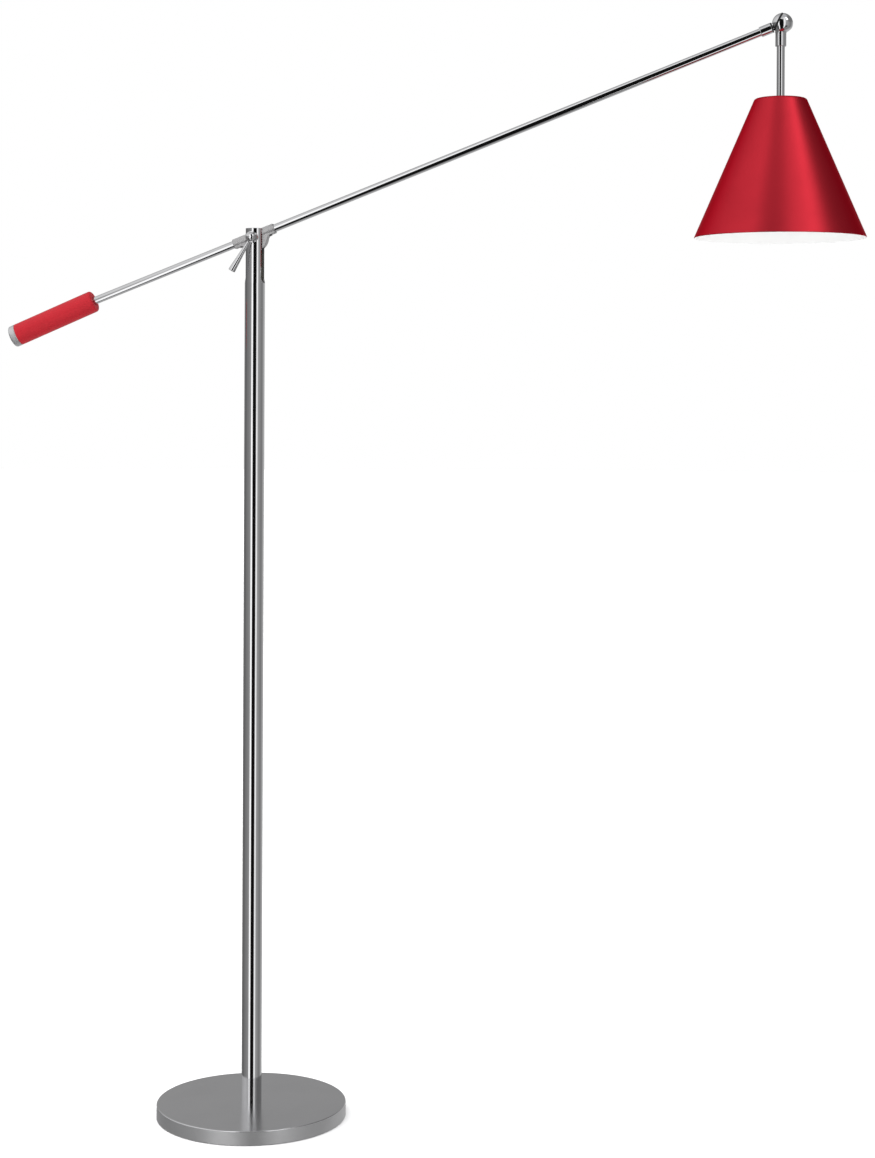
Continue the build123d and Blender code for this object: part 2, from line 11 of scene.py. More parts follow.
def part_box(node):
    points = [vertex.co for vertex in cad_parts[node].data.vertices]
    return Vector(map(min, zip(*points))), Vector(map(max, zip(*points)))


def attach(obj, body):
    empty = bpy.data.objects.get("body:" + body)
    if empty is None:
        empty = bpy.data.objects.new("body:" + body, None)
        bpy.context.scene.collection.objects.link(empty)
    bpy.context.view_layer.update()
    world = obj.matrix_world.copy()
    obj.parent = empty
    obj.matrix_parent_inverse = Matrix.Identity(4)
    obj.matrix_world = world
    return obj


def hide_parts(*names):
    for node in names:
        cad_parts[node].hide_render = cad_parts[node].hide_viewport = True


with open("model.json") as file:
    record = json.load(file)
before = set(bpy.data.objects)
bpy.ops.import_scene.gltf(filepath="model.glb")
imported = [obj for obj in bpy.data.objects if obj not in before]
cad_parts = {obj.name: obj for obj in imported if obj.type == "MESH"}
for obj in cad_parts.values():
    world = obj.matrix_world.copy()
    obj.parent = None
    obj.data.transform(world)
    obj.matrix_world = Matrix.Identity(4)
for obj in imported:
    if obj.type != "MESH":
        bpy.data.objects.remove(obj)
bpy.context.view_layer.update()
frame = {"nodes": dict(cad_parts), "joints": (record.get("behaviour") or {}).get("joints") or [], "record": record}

MM = 0.001
NODES = frame["nodes"]
JOINTS = {joint["name"]: joint for joint in frame["joints"]}
SLOT_OF = {row["node"]: row["material_slot"] for row in frame["record"]["subparts"]}

# --- places, read from the frame --------------------------------------------------------------------------
PIVOT = Vector(JOINTS["arm_tilt"]["pos_m"])
BALL = Vector(JOINTS["head_roll"]["pos_m"])
ARM_DIR = Vector(JOINTS["head_roll"]["axis"]).normalized()
SWIVEL_DIR = Vector(JOINTS["head_swivel"]["axis"]).normalized()
HEAD_AXIS = Vector(JOINTS["switch_turn"]["pos_m"])
ARM_UP = Vector((-ARM_DIR.z, 0, ARM_DIR.x))
ARM_RISE = (BALL - PIVOT).dot(ARM_UP)
BALL_ARM = (BALL - PIVOT).dot(ARM_DIR)
WEIGHT_ARM = 0.266
WEIGHT_DROOP = math.radians(1.9)


def size_of(node):
    low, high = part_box(node)
    return high - low


def placed(origin, z_dir, x_hint=(0, 1, 0)):
    """A matrix with its origin there and its local Z along z_dir."""
    z = Vector(z_dir).normalized()
    x = Vector(x_hint)
    x = (x - z * z.dot(x)).normalized()
    matrix = Matrix((x, z.cross(x), z)).transposed().to_4x4()
    matrix.translation = origin
    return matrix


UPRIGHT = Matrix.Identity(4)
ARM = placed(PIVOT + ARM_UP * ARM_RISE, ARM_DIR)
FRONT = placed(PIVOT, (0, -1, 0), (1, 0, 0))
REAR = placed(PIVOT, (0, 1, 0), (1, 0, 0))
WEIGHT_DIR = -ARM_DIR * math.cos(WEIGHT_DROOP) - ARM_UP * math.sin(WEIGHT_DROOP)
WEIGHT = placed(ARM.translation - ARM_DIR * WEIGHT_ARM, WEIGHT_DIR)
ROLL = placed(BALL, -ARM_DIR)
SWIVEL = placed(BALL, SWIVEL_DIR)
HEAD = Matrix.Translation((HEAD_AXIS.x, 0, 0))
INLET = placed((0, 0, 0.009), (0, 1, 0), (1, 0, 0))


# --- camera -----------------------------------------------------------------------------------------------
def make_camera():
    """Level camera at the photograph's viewing angle."""
    data = bpy.data.cameras.new("view")
    data.lens = 69.58
    data.sensor_width = 36.0
    data.shift_y = -0.1556
    camera = bpy.data.objects.new("view", data)
    turn = Matrix.Rotation(math.radians(10.515), 4, "Z") @ Matrix.Rotation(math.radians(90), 4, "X")
    roll = Matrix.Rotation(math.radians(0.24), 4, "Z")
    camera.matrix_world = Matrix.Translation((0.8745, -3.2205, 1.0651)) @ turn @ roll
    bpy.context.scene.collection.objects.link(camera)
    bpy.context.scene.camera = camera


# --- node helpers -----------------------------------------------------------------------------------------
class Graph:
    """Short ways to add and join shader nodes."""

    def __init__(self, tree):
        self.tree = tree
        self.tree.nodes.clear()

    def add(self, kind, **settings):
        node = self.tree.nodes.new(kind)
        for key, value in settings.items():
            setattr(node, key, value)
        return node

    def join(self, source, target):
        self.tree.links.new(source, target)

    def feed(self, socket, value):
        if isinstance(value, bpy.types.NodeSocket):
            self.join(value, socket)
        else:
            socket.default_value = value

    def math(self, operation, *values):
        node = self.add("ShaderNodeMath", operation=operation)
        for socket, value in zip(node.inputs, values):
            self.feed(socket, value)
        return node.outputs[0]

    def noise(self, coords, scale, detail=3.0, roughness=0.5, distortion=0.0):
        node = self.add("ShaderNodeTexNoise")
        self.join(coords, node.inputs["Vector"])
        node.inputs["Scale"].default_value = scale
        node.inputs["Detail"].default_value = detail
        node.inputs["Roughness"].default_value = roughness
        node.inputs["Distortion"].default_value = distortion
        return node.outputs[0]

    def stretched(self, coords, factors):
        node = self.add("ShaderNodeVectorMath", operation="MULTIPLY")
        self.join(coords, node.inputs[0])
        node.inputs[1].default_value = factors
        return node.outputs[0]

    def remap(self, value, low, high, to_low, to_high, smooth=False):
        node = self.add("ShaderNodeMapRange")
        node.interpolation_type = "SMOOTHSTEP" if smooth else "LINEAR"
        for name, number in (("From Min", low), ("From Max", high), ("To Min", to_low), ("To Max", to_high)):
            node.inputs[name].default_value = number
        self.join(value, node.inputs["Value"])
        return node.outputs[0]

    def mix(self, factor, first, second):
        node = self.add("ShaderNodeMix", data_type="RGBA")
        self.feed(node.inputs[0], factor)
        self.feed(node.inputs[6], first)
        self.feed(node.inputs[7], second)
        return node.outputs[2]

    def ramp(self, value, stops):
        node = self.add("ShaderNodeValToRGB")
        elements = node.color_ramp.elements
        while len(elements) > 1:
            elements.remove(elements[-1])
        elements[0].position = stops[0][0]
        elements[0].color = (stops[0][1],) * 3 + (1,)
        for place, level in stops[1:]:
            elements.new(place).color = (level,) * 3 + (1,)
        self.join(value, node.inputs[0])
        return node.outputs[0]

    def bump(self, height, strength, distance, under=None):
        node = self.add("ShaderNodeBump")
        node.inputs["Strength"].default_value = strength
        node.inputs["Distance"].default_value = distance
        self.join(height, node.inputs["Height"])
        if under is not None:
            self.join(under, node.inputs["Normal"])
        return node.outputs[0]


def rgba(colour):
    return (*colour, 1.0)


def finish_material(
    name, colour, metallic, roughness, *, spread=0.06, tint=0.85, patch=18.0, grain=900.0,
    grain_depth=0.00002, brush=None, wear=None, worn=(0.5, 0.5, 0.5), coat=0.0, specular=0.5,
    subsurface=0.0, edge_tint=(1.0, 1.0, 1.0),
):
    """A procedural finish: patchy colour and roughness, grain or brushing in the bump, and worn edges."""
    material = bpy.data.materials.new(name)
    material.use_nodes = True
    g = Graph(material.node_tree)
    shader = g.add("ShaderNodeBsdfPrincipled")
    g.join(shader.outputs[0], g.add("ShaderNodeOutputMaterial").inputs[0])
    coords = g.add("ShaderNodeTexCoord").outputs["Object"]
    patches = g.noise(coords, patch, 4.0, 0.55, 0.3)
    fine = g.noise(coords, grain, 2.0, 0.6)
    darker = tuple(channel * tint for channel in colour)
    base = g.mix(g.remap(patches, 0.35, 0.7, 0.0, 1.0, True), rgba(colour), rgba(darker))
    rough = g.remap(patches, 0.3, 0.7, max(0.02, roughness - spread / 2), roughness + spread / 2)
    rough = g.math("ADD", rough, g.remap(fine, 0.3, 0.7, -spread / 4, spread / 4))
    normal = g.bump(fine, 0.5, grain_depth)
    if brush:
        lines = g.noise(g.stretched(coords, brush), 1.0, 3.0, 0.65)
        rough = g.math("ADD", rough, g.remap(lines, 0.3, 0.7, -spread / 3, spread / 3))
        normal = g.bump(lines, 0.35, grain_depth, normal)
    if wear:
        edge = g.add("ShaderNodeNewGeometry").outputs["Pointiness"]
        edge = g.remap(edge, wear[0], wear[1], 0.0, 1.0, True)
        edge = g.math("MULTIPLY", edge, g.remap(fine, 0.4, 0.6, 0.2, 1.0, True))
        base = g.mix(edge, base, rgba(worn))
        rough = g.math("ADD", rough, g.math("MULTIPLY", edge, 0.12))
    g.join(base, shader.inputs["Base Color"])
    g.join(rough, shader.inputs["Roughness"])
    g.join(normal, shader.inputs["Normal"])
    shader.inputs["Metallic"].default_value = metallic
    shader.inputs["Specular IOR Level"].default_value = specular
    shader.inputs["Specular Tint"].default_value = rgba(edge_tint)
    shader.inputs["Coat Weight"].default_value = coat
    shader.inputs["Coat Roughness"].default_value = 0.12
    shader.inputs["Subsurface Weight"].default_value = subsurface
    return material


def make_materials():
    """One finish for each material slot of the record, and a few for faces that differ inside a piece."""
    long_x = (40.0, 1500.0, 1500.0)
    return {
        "chrome": finish_material(
            "chrome_plate", (0.68, 0.68, 0.69), 1.0, 0.07, spread=0.05, tint=0.96, patch=14.0,
            grain=1400.0, grain_depth=0.000002,
        ),
        "base_top": finish_material(
            "polished_steel_plate", (0.62, 0.62, 0.63), 1.0, 0.2, spread=0.05, tint=0.96, patch=10.0,
            grain=1400.0, grain_depth=0.000003,
        ),
        # Satin roughness is the real finish; the colour, lighter than the chrome's, is painted light.
        "satin_chrome_painted_light": finish_material(
            "satin_chrome_plate", (0.80, 0.80, 0.81), 1.0, 0.52, spread=0.06, tint=0.96, patch=24.0,
            grain=1400.0, grain_depth=0.000004,
        ),
        "satin_casting": finish_material(
            "satin_cast_nickel", (0.51, 0.505, 0.51), 1.0, 0.40, spread=0.08, tint=0.94, patch=60.0,
            grain=1800.0, grain_depth=0.000012, wear=(0.53, 0.6), worn=(0.72, 0.72, 0.73),
        ),
        "red_lacquer": finish_material(
            "red_metallic_lacquer", (0.64, 0.032, 0.050), 1.0, 0.40, spread=0.05, tint=0.94, patch=9.0,
            grain=2600.0, grain_depth=0.000008, wear=(0.56, 0.66), worn=(0.55, 0.06, 0.08),
            edge_tint=(0.85, 0.30, 0.34),
        ),
        "shade_white": finish_material(
            "white_inner_enamel", (0.80, 0.80, 0.795), 0.0, 0.42, spread=0.08, tint=0.985, patch=22.0,
            grain=1500.0, grain_depth=0.00002,
        ),
        "red_paint": finish_material(
            "red_satin_paint", (0.41, 0.011, 0.020), 0.2, 0.42, spread=0.06, tint=0.94, patch=35.0,
            grain=1600.0, grain_depth=0.000008, wear=(0.54, 0.62), worn=(0.36, 0.04, 0.05), specular=0.2,
        ),
        "iron": finish_material(
            "black_cast_iron", (0.045, 0.043, 0.042), 0.35, 0.62, spread=0.14, tint=0.6, patch=30.0,
            grain=420.0, grain_depth=0.00015,
        ),
        "rubber": finish_material(
            "black_rubber", (0.022, 0.022, 0.023), 0.0, 0.72, spread=0.12, tint=0.7, patch=50.0,
            grain=1300.0, grain_depth=0.00008,
        ),
        "lead": finish_material(
            "lead_sheath", (0.03, 0.03, 0.032), 0.0, 0.5, spread=0.1, tint=0.75, patch=60.0,
            grain=1500.0, grain_depth=0.00003,
        ),
        "black_fibre": finish_material(
            "black_fibre", (0.012, 0.012, 0.013), 0.0, 0.5, spread=0.12, tint=0.7, patch=140.0,
            grain=2600.0, grain_depth=0.00003, brush=long_x, specular=0.3,
        ),
        "nylon": finish_material(
            "natural_nylon", (0.78, 0.76, 0.70), 0.0, 0.38, spread=0.1, tint=0.93, patch=90.0,
            grain=1500.0, grain_depth=0.00002, subsurface=0.1,
        ),
        "steel": finish_material(
            "blackened_steel", (0.13, 0.13, 0.135), 1.0, 0.38, spread=0.14, tint=0.7, patch=150.0,
            grain=1900.0, grain_depth=0.00003, wear=(0.54, 0.62), worn=(0.5, 0.5, 0.5),
        ),
        "bronze": finish_material(
            "oiled_bronze", (0.42, 0.26, 0.13), 1.0, 0.4, spread=0.14, tint=0.7, patch=120.0,
            grain=1800.0, grain_depth=0.00003,
        ),
        "brass": finish_material(
            "brass_strip", (0.78, 0.58, 0.28), 1.0, 0.26, spread=0.12, tint=0.85, patch=90.0,
            grain=1700.0, grain_depth=0.00002,
        ),
        "holder_plastic": finish_material(
            "black_phenolic", (0.02, 0.019, 0.019), 0.0, 0.28, spread=0.1, tint=0.75, patch=45.0,
            grain=1700.0, grain_depth=0.00002, wear=(0.54, 0.64), worn=(0.07, 0.065, 0.06),
        ),
        "porcelain": finish_material(
            "glazed_porcelain", (0.86, 0.85, 0.81), 0.0, 0.16, spread=0.06, tint=0.96, patch=40.0,
            grain=900.0, grain_depth=0.00003, coat=0.4,
        ),
        "cap_metal": finish_material(
            "bulb_cap_alloy", (0.70, 0.70, 0.69), 1.0, 0.3, spread=0.12, tint=0.85, patch=110.0,
            grain=1600.0, grain_depth=0.00002,
        ),
        "glass": finish_material(
            "opal_bulb_glass", (0.94, 0.94, 0.92), 0.0, 0.3, spread=0.08, tint=0.98, patch=26.0,
            grain=1200.0, grain_depth=0.00001, subsurface=0.25,
        ),
        "tube_inside": finish_material(
            "bare_tube_inside", (0.17, 0.16, 0.135), 0.7, 0.55, spread=0.16, tint=0.65, patch=60.0,
            grain=1300.0, grain_depth=0.00004, brush=(1600.0, 1600.0, 60.0),
        ),
    }


# --- mesh helpers -----------------------------------------------------------------------------------------
ARC_STEP = math.radians(11)
SUPPORT = 0.25


def rounded(points, closed=False):
    """Profile points from (radius, height[, corner radius]) ones.

    Corners become arcs, and long straight runs get a support point beside each end.
    """
    count = len(points)
    corners = []
    for index, point in enumerate(points):
        here = Vector(point[:2])
        radius = point[2] if len(point) > 2 else 0.0
        at_end = not closed and index in (0, count - 1)
        if radius == 0.0 or at_end:
            corners.append([here])
            continue
        before = Vector(points[index - 1][:2]) - here
        after = Vector(points[(index + 1) % count][:2]) - here
        half = before.angle(after) / 2
        cut = min(radius / math.tan(half), 0.48 * before.length, 0.48 * after.length)
        before.normalize()
        after.normalize()
        arc_radius = cut * math.tan(half)
        centre = here + (before + after).normalized() * (arc_radius / math.sin(half))
        start = here + before * cut - centre
        end = here + after * cut - centre
        turn = math.atan2(start.x * end.y - start.y * end.x, start.dot(end))
        steps = max(3, math.ceil(abs(turn) / ARC_STEP))
        arc = []
        for step in range(steps + 1):
            angle = turn * step / steps
            cos, sin = math.cos(angle), math.sin(angle)
            arc.append(centre + Vector((start.x * cos - start.y * sin, start.x * sin + start.y * cos)))
        corners.append(arc)
    line = []
    for index, arc in enumerate(corners):
        line.extend(arc)
        if index == count - 1 and not closed:
            break
        following = corners[(index + 1) % count][0]
        gap = following - arc[-1]
        if gap.length > 6 * SUPPORT:
            nudge = gap.normalized() * SUPPORT
            line.extend([arc[-1] + nudge, following - nudge])
    return line


def smooth_faces(mesh, angle=32.0):
    """Smooth shading that breaks at real edges."""
    for polygon in mesh.polygons:
        polygon.use_smooth = True
    mesh.set_sharp_from_angle(angle=math.radians(angle))


def object_of(name, bm, matrix=UPRIGHT, angle=32.0):
    """An object at the origin from a bmesh in millimetres, placed by matrix."""
    bmesh.ops.remove_doubles(bm, verts=bm.verts, dist=0.0004)
    bmesh.ops.recalc_face_normals(bm, faces=bm.faces)
    bmesh.ops.transform(bm, matrix=matrix @ Matrix.Scale(MM, 4), verts=bm.verts)
    mesh = bpy.data.meshes.new(name)
    bm.to_mesh(mesh)
    bm.free()
    smooth_faces(mesh, angle)
    obj = bpy.data.objects.new(name, mesh)
    bpy.context.scene.collection.objects.link(obj)
    return obj


def lathe_into(bm, profile, segments=96, closed=False, form=None, material_of=None):
    """Adds a turned body about Z. form(angle, radius, height) may change a point's radius."""
    line = rounded(profile, closed)
    rings = []
    for radius, height in line:
        if radius < 1e-5:
            rings.append([bm.verts.new((0, 0, height))])
            continue
        ring = []
        for step in range(segments):
            angle = 2 * math.pi * step / segments
            reach = form(angle, radius, height) if form else radius
            ring.append(bm.verts.new((reach * math.cos(angle), reach * math.sin(angle), height)))
        rings.append(ring)
    pairs = list(zip(rings, rings[1:]))
    if closed:
        pairs.append((rings[-1], rings[0]))
    for index, (first, second) in enumerate(pairs):
        made = []
        for step in range(segments):
            turn = (step + 1) % segments
            if len(first) == 1 and len(second) == 1:
                continue
            if len(first) == 1:
                made.append(bm.faces.new((first[0], second[step], second[turn])))
            elif len(second) == 1:
                made.append(bm.faces.new((first[step], first[turn], second[0])))
            else:
                made.append(bm.faces.new((first[step], first[turn], second[turn], second[step])))
        if material_of:
            for face in made:
                face.material_index = material_of(line[index], line[(index + 1) % len(line)])


def lathe(name, profile, matrix=UPRIGHT, angle=32.0, **options):
    bm = bmesh.new()
    lathe_into(bm, profile, **options)
    return object_of(name, bm, matrix, angle)


def hexagon_form(across_flats):
    """Keeps a turned body inside a hexagon."""

    def form(angle, radius, height):
        within = (angle + math.pi / 6) % (math.pi / 3) - math.pi / 6
        return min(radius, across_flats / 2 / math.cos(within))

    return form


def thread_form(low, high, pitch, depth):
    """A rounded screw thread between two heights."""

    def form(angle, radius, height):
        if not low < height < high:
            return radius
        fade = min(1.0, (height - low) / pitch, (high - height) / pitch)
        return radius - depth * fade * (0.5 + 0.5 * math.cos(2 * math.pi * height / pitch - angle))

    return form


def heights(radius, low, high, step):
    """A straight run of profile points, for a form that changes along it."""
    count = math.ceil((high - low) / step)
    return [(radius, low + (high - low) * index / count) for index in range(count + 1)]


def show(obj, body, slot, *replaced, materials=None):
    """Gives a piece its finish and its body, and hides the CAD nodes it stands in for."""
    for material in materials or [FINISH[slot]]:
        obj.data.materials.append(material)
    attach(obj, body)
    if replaced:
        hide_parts(*replaced)
    return obj


# --- stand ------------------------------------------------------------------------------------------------
SLOT_HALF = 9.0
SLOT_LOW = 1235.5
SADDLE_FACE = 17.2
CLAMP_FACE = 18.0


def make_base():
    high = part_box("base_cover")[1]
    radius, top = high.x / MM, high.z / MM
    wall = 1.5

    def skirt_or_top(first, second):
        """Flat polished steel top, satin skirt coloured lighter as painted light, bright eased edge between."""
        centre = (Vector(first) + Vector(second)) / 2
        if centre.y > top - 0.05 and centre.x < radius - 1.5:
            return 2
        return 1 if centre.x > radius - 0.3 and centre.y < top - 1.0 else 0

    cover = lathe("base_plate", [
        (0, top), (radius, top, 1.6), (radius, 0.6, 0.35), (radius - wall, 0.6, 0.35),
        (radius - wall, top - wall, 0.8), (0, top - wall),
    ], segments=256, material_of=skirt_or_top)
    finishes = [FINISH["chrome"], FINISH["satin_chrome_painted_light"], FINISH["base_top"]]
    show(cover, "stand", "chrome", "base_cover", materials=finishes)
    pad_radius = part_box("base_pad")[1].x / MM
    pad_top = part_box("base_pad")[1].z / MM
    rings = [(0, 0.5)]
    groove = 8.0
    reach = 20.0
    while reach + groove < pad_radius - 4:
        rings += [
            (reach, 0.5, 0.2), (reach + 0.8, 0, 0.2),
            (reach + groove - 2.4, 0, 0.2), (reach + groove - 1.6, 0.5, 0.2),
        ]
        reach += groove
    rings += [
        (pad_radius - 3.0, 0.5, 0.2), (pad_radius - 2.2, 0, 0.3), (pad_radius, 0, 0.6),
        (pad_radius, pad_top, 0.3), (0, pad_top),
    ]
    pad = lathe("base_pad_ribbed", rings, segments=160)
    show(pad, "stand", "rubber", "base_pad")
    outside = radius
    grommet = lathe("inlet_bush", [
        (3.1, outside - 5.2, 0.5), (4.9, outside - 5.2, 0.4), (6.5, outside - 3.4, 0.3),
        (6.5, outside - 1.8, 0.3),
        (4.9, outside - 1.8), (4.9, outside - 0.4), (6.5, outside - 0.4, 0.2), (6.5, outside + 1.0, 0.5),
        (5.2, outside + 1.8, 0.6), (3.1, outside + 1.8, 0.5),
    ], INLET, segments=64, closed=True)
    show(grommet, "stand", "rubber", "inlet_grommet")


def make_pole():
    """Plated tube with a round-bottomed slot through its top, its edges eased by a small arc."""
    low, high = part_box("pole")
    outer = high.x / MM
    inner = outer - 1.5
    foot, top = low.z / MM, high.z / MM
    arc_centre = SLOT_LOW + SLOT_HALF
    columns = 48
    round_steps = 20

    def section(z, half, ease, trim=0.0):
        """Half a tube's outline at one height, from one slot face round the front to the other."""
        big, small = outer - trim, inner + trim
        ease = min(ease, half * 0.5)
        out_end = math.acos(min(1.0, (half + ease) / big))
        in_end = math.acos(min(1.0, (half + ease) / small))
        outline = [("o", big * math.sin(out_end * u), -big * math.cos(out_end * u)) for u in steps]
        reach = math.sqrt(max(0.0, (big - ease) ** 2 - half**2))
        near = math.sqrt(max(0.0, (small + ease) ** 2 - half**2))
        edge_right = [("s", reach, -half), ("s", near, -half)]
        inside = [("i", small * math.sin(in_end * u), -small * math.cos(in_end * u)) for u in reversed(steps)]
        edge_left = [("s", -near, -half), ("s", -reach, -half)]
        return [(x, y, z) for _, x, y in outline + edge_right + inside + edge_left]

    steps = [-1 + 2 * index / columns for index in range(columns + 1)]
    rows = [(foot, 0.0, 0.0), (foot + 0.4, 0.0, 0.0)]
    rows += [(foot + (SLOT_LOW - foot) * share, 0.0, 0.0) for share in (0.25, 0.5, 0.75, 0.98)]
    for index in range(round_steps + 1):
        angle = math.pi / 2 * index / round_steps
        rows.append((arc_centre - SLOT_HALF * math.cos(angle), SLOT_HALF * math.sin(angle), 0.0))
    rows += [(arc_centre + (top - 0.35 - arc_centre) * share, SLOT_HALF, 0.0) for share in (0.3, 0.7, 1.0)]
    rows.append((top, SLOT_HALF, 0.3))
    bm = bmesh.new()
    for side in (1, -1):
        loops = []
        for z, half, trim in rows:
            loops.append([bm.verts.new((x * side, y * side, z)) for x, y, z in section(z, half, 0.3, trim)])
        size = len(loops[0])
        for row, (below, above) in enumerate(zip(loops, loops[1:])):
            in_slot = rows[row + 1][1] > 0
            for index in range(size):
                turn = (index + 1) % size
                outside = index < columns
                inside = columns + 3 <= index < 2 * columns + 3
                if not (outside or inside or in_slot):
                    continue
                face = bm.faces.new((below[index], below[turn], above[turn], above[index]))
                face.material_index = 0 if outside or not inside else 1
        bm.faces.new(loops[-1])
        bm.faces.new(list(reversed(loops[0])))
    pole = object_of("pole_tube", bm)
    show(pole, "stand", "chrome", "pole", materials=[FINISH["chrome"], FINISH["tube_inside"]])


def make_saddles():
    """Washers whose inner ends follow the pole's round wall."""
    bm = bmesh.new()
    radius = size_of("saddle_washers").x / 2 / MM
    for side in (1, -1):
        part = bmesh.new()
        washer = [(0, 10.0), (radius, 10.0), (radius, SADDLE_FACE, 0.5), (0, SADDLE_FACE)]
        lathe_into(part, washer, segments=72)
        for vert in part.verts:
            if vert.co.z < 10.5:
                vert.co.z = math.sqrt(14.6**2 - min(radius, abs(vert.co.x)) ** 2)
        bmesh.ops.transform(part, matrix=placed((0, 0, 0), (0, side, 0), (1, 0, 0)), verts=part.verts)
        spare = bpy.data.meshes.new("spare")
        part.to_mesh(spare)
        part.free()
        bm.from_mesh(spare)
        bpy.data.meshes.remove(spare)
    bmesh.ops.translate(bm, vec=PIVOT / MM, verts=bm.verts)
    show(object_of("pole_saddles", bm), "stand", "chrome", "saddle_washers")


def make_rear_nut():
    face = SADDLE_FACE
    nut = lathe("rear_dome_nut", [
        (0, face), (6.6, face, 0.3), (8.3, face + 0.9), (8.3, face + 5.4), (6.9, face + 6.3, 0.3),
        (6.4, face + 6.5, 0.4), (6.2, face + 8.0, 1.0), (5.2, face + 10.6, 2.0), (3.0, face + 12.4, 2.0),
        (0, face + 12.9),
    ], REAR, segments=120, form=hexagon_form(14.0))
    show(nut, "stand", "chrome", "rear_cap_nut")


# --- clamp ------------------------------------------------------------------------------------------------
def make_clamp():
    face = CLAMP_FACE
    hub = lathe("clamp_knob", [
        (0, face), (8.2, face, 0.4), (8.2, face + 6.6, 0.9), (7.0, face + 6.8, 0.25), (6.7, face + 7.3, 0.25),
        (6.75, face + 8.0, 0.5), (6.2, face + 9.3, 1.6), (4.6, face + 11.0, 2.6), (2.4, face + 11.9, 2.6),
        (0, face + 12.1),
    ], FRONT, segments=120)
    show(hub, "clamp", "chrome", "clamp_hub")
    washer = lathe("clamp_slip_washer", [
        (4.1, SADDLE_FACE), (7.4, SADDLE_FACE, 0.2), (7.4, face, 0.2), (4.1, face),
    ], FRONT, segments=72, closed=True)
    show(washer, "clamp", "nylon", "clamp_washer")
    low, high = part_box("clamp_lever")
    depth = (low.y + high.y) / 2
    lean = math.radians(31.0)
    down = Vector((-math.sin(lean), 0, -math.cos(lean)))
    lever = lathe("clamp_handle", [
        (0, 6.7), (2.2, 6.7), (2.25, 9.0), (5.3, 58.0, 0.7), (3.4, 58.0, 0.4), (3.1, 57.6, 0.3), (0, 57.6),
    ], placed((0, depth, PIVOT.z), down), segments=72)
    show(lever, "clamp", "chrome", "clamp_lever")


# --- arm --------------------------------------------------------------------------------------------------
TUBE_R = 5.75
TUBE_BORE = 4.55


def make_pivot_block():
    """The cast hub: the CAD solid remeshed finely and eased, so that its edges are a casting's."""
    block = bpy.data.objects.new("cast_hub", NODES["pivot_block"].data.copy())
    block.data.materials.clear()
    bpy.context.scene.collection.objects.link(block)
    remesh = block.modifiers.new("remesh", "REMESH")
    remesh.mode = "VOXEL"
    remesh.voxel_size = 0.00035
    ease = block.modifiers.new("ease", "SMOOTH")
    ease.factor = 0.5
    ease.iterations = 4
    graph = bpy.context.evaluated_depsgraph_get()
    mesh = bpy.data.meshes.new_from_object(block.evaluated_get(graph))
    block.modifiers.clear()
    block.data = mesh
    smooth_faces(mesh, 75.0)
    show(block, "arm", "satin_casting", "pivot_block")


def make_tube(name, low, high, matrix):
    return lathe(name, [
        (TUBE_BORE, low, 0.2), (TUBE_R, low, 0.3), (TUBE_R, high, 0.3), (TUBE_BORE, high, 0.2),
    ], matrix, segments=72, closed=True)


def make_arm():
    front_end = BALL_ARM / MM - 25.0
    show(make_tube("front_tube", 17.0, front_end, ARM), "arm", "chrome", "front_arm")
    show(make_tube("rear_tube", -345.0, -17.0, ARM), "arm", "chrome", "rear_arm")
    collar = lathe("arm_end_collar", [
        (4.6, 16.7), (7.5, 16.7, 0.35), (7.5, 32.2, 0.2), (7.15, 32.4, 0.15), (7.15, 33.0, 0.15),
        (7.0, 33.4, 0.3), (TUBE_R + 0.02, 33.4), (TUBE_R + 0.02, 20.5), (4.6, 20.5),
    ], ROLL, segments=96, closed=True)
    show(collar, "arm", "chrome", "arm_collar")
    ring = lathe("roll_friction_ring", [
        (4.6, 15.0), (7.4, 15.0, 0.3), (7.4, 16.7, 0.3), (4.6, 16.7),
    ], ROLL, segments=96, closed=True)
    show(ring, "arm", "black_fibre", "roll_washer")


def make_counterweight():
    radius, length, cap = 16.4, 130.0, 10.0
    bar = lathe("weight_bar", [
        (0, 0.5), (6.3, 0.5), (6.9, 0, 0.4), (radius, 0, 3.6),
        (radius, length - 0.35, 0.4), (0, length - 0.35),
    ], WEIGHT, segments=144)
    show(bar, "arm", "red_paint", "counterweight")
    end = lathe("weight_end_cap", [
        (0, length - 0.3), (15.6, length - 0.3), (15.6, length + 0.4), (radius, length + 0.4, 0.3),
        (radius, length + cap, 2.4), (0, length + cap),
    ], WEIGHT, segments=144)
    show(end, "arm", "chrome", "counterweight_cap", materials=[FINISH["satin_chrome_painted_light"]])


# --- head joint -------------------------------------------------------------------------------------------
BALL_R = 14.8
NECK_R = 7.8
SPLIT_LOW = 4.2
SPLIT_HIGH = 7.2


def cut_by_split(bm, height, keep_above):
    """Cuts a body in the ball's frame at a height on the swivel axis and closes it, with a small bevel."""
    normal = SWIVEL_DIR if not keep_above else -SWIVEL_DIR
    point = SWIVEL_DIR * height
    geometry = bm.verts[:] + bm.edges[:] + bm.faces[:]
    cut = bmesh.ops.bisect_plane(
        bm, geom=geometry, plane_co=point, plane_no=normal, clear_outer=True, dist=0.0005,
    )
    edges = [item for item in cut["geom_cut"] if isinstance(item, bmesh.types.BMEdge)]
    filled = bmesh.ops.contextual_create(bm, geom=edges)
    for face in filled["faces"]:
        ringed = bmesh.ops.inset_individual(bm, faces=[face], thickness=0.5, depth=0.0)
        for side in ringed["faces"]:
            side.smooth = True


